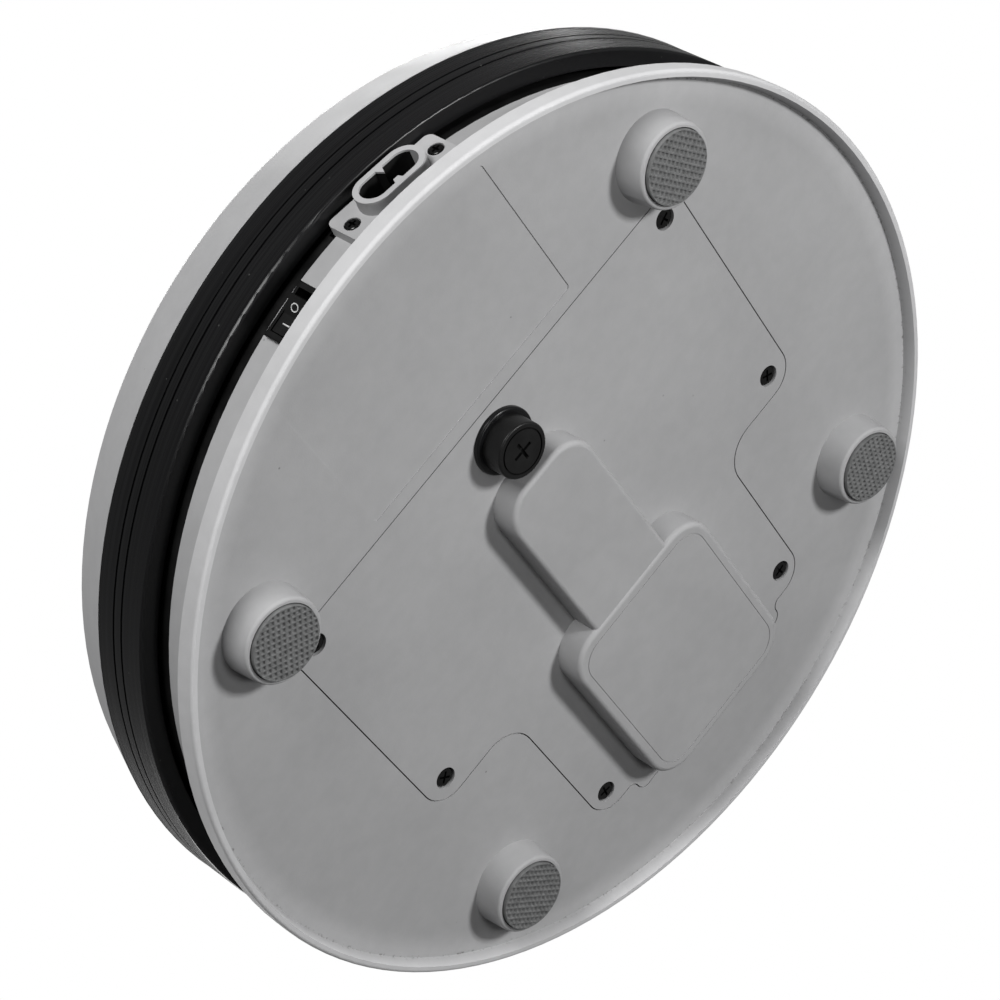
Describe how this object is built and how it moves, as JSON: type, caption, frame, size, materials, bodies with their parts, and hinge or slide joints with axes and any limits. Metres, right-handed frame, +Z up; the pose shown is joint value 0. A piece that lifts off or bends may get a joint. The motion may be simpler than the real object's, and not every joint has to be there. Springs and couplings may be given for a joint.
{
  "type": "motorised display turntable",
  "caption": "Low round motor-driven display turntable: a flat platter with a sloping edge turns on a ball ring over a drum base with feet, inlet, rocker switch and fuse.",
  "frame": {"origin": "on the turning axis, at the plane that the four foot pads stand on", "axes": "+Z up along the turning axis, +Y towards the inlet and switch side, X across them"},
  "size_m": [0.22, 0.22, 0.0537],
  "materials": {
    "base_grey": "fine satin light grey moulding",
    "platter_grey": "fine satin light grey moulding",
    "gloss_black": "gloss black",
    "black_plastic": "satin black",
    "pad_rubber": "soft grey rubber with a fine square grid",
    "black_screw": "black oxide",
    "zinc_steel": "zinc plated",
    "race_steel": "turned",
    "bright_steel": "polished",
    "bronze": "turned",
    "pin_brass": "plated",
    "white_nylon": "natural nylon",
    "clear_glass": "clear",
    "wire_cover": "soft black"
  },
  "bodies": {
    "base": {"base_pan": "base_grey", "foot_pads": "pad_rubber", "bottom_cover": "base_grey", "cover_screws": "black_screw", "deck": "black_plastic", "deck_screws": "zinc_steel", "lower_race": "race_steel", "deck_bushing": "bronze", "thrust_washer": "white_nylon", "motor_can": "zinc_steel", "motor_gearbox": "zinc_steel", "motor_plate": "zinc_steel", "motor_screws": "zinc_steel", "inlet_socket": "base_grey", "inlet_pins": "pin_brass", "inlet_screws": "black_screw", "switch_housing": "black_plastic", "switch_tags": "pin_brass", "fuse_holder": "gloss_black", "fuse_nut": "black_plastic", "fuse_contacts": "pin_brass", "terminal_block": "white_nylon", "mains_wires": "wire_cover", "motor_leads": "wire_cover"},
    "turning_platter": {"platter": "platter_grey", "skirt_ring": "gloss_black", "skirt_screws": "zinc_steel", "upper_race": "race_steel", "spindle": "race_steel", "spindle_screws": "zinc_steel", "gear_pin": "zinc_steel", "main_gear": "white_nylon", "hub_spacer": "white_nylon", "retaining_clip": "zinc_steel"},
    "motor_output": {"drive_pinion": "bronze", "motor_shaft": "bright_steel"},
    "ball_ring": {"ball_cage": "white_nylon", "race_balls": "bright_steel"},
    "rocker": {"switch_rocker": "black_plastic"},
    "fuse_carrier": {"fuse_cap": "black_plastic", "fuse_tube": "clear_glass", "fuse_ends": "zinc_steel"}
  },
  "joints": [
    {"name": "platter_spin", "type": "hinge", "parent": "base", "child": "turning_platter", "pos_m": [0, 0, 0.0386], "axis": [0, 0, 1], "continuous": true},
    {"name": "motor_spin", "type": "hinge", "parent": "base", "child": "motor_output", "pos_m": [0, -0.034, 0.0235], "axis": [0, 0, 1], "continuous": true},
    {"name": "ball_ring_spin", "type": "hinge", "parent": "base", "child": "ball_ring", "pos_m": [0, 0, 0.0386], "axis": [0, 0, 1], "continuous": true},
    {"name": "switch_rock", "type": "hinge", "parent": "base", "child": "rocker", "pos_m": [0.01506, 0.10078, 0.016], "axis": [0, 0, 1], "range_deg": [0, 24]},
    {"name": "fuse_cap_turn", "type": "hinge", "parent": "base", "child": "fuse_carrier", "pos_m": [0, 0.04, 0.0014], "axis": [0, 0, -1], "range_deg": [0, 90]}
  ],
  "couplings": [
    {"joint": "motor_spin", "follows": "platter_spin", "ratio": -3.8571},
    {"joint": "ball_ring_spin", "follows": "platter_spin", "ratio": 0.5}
  ]
}
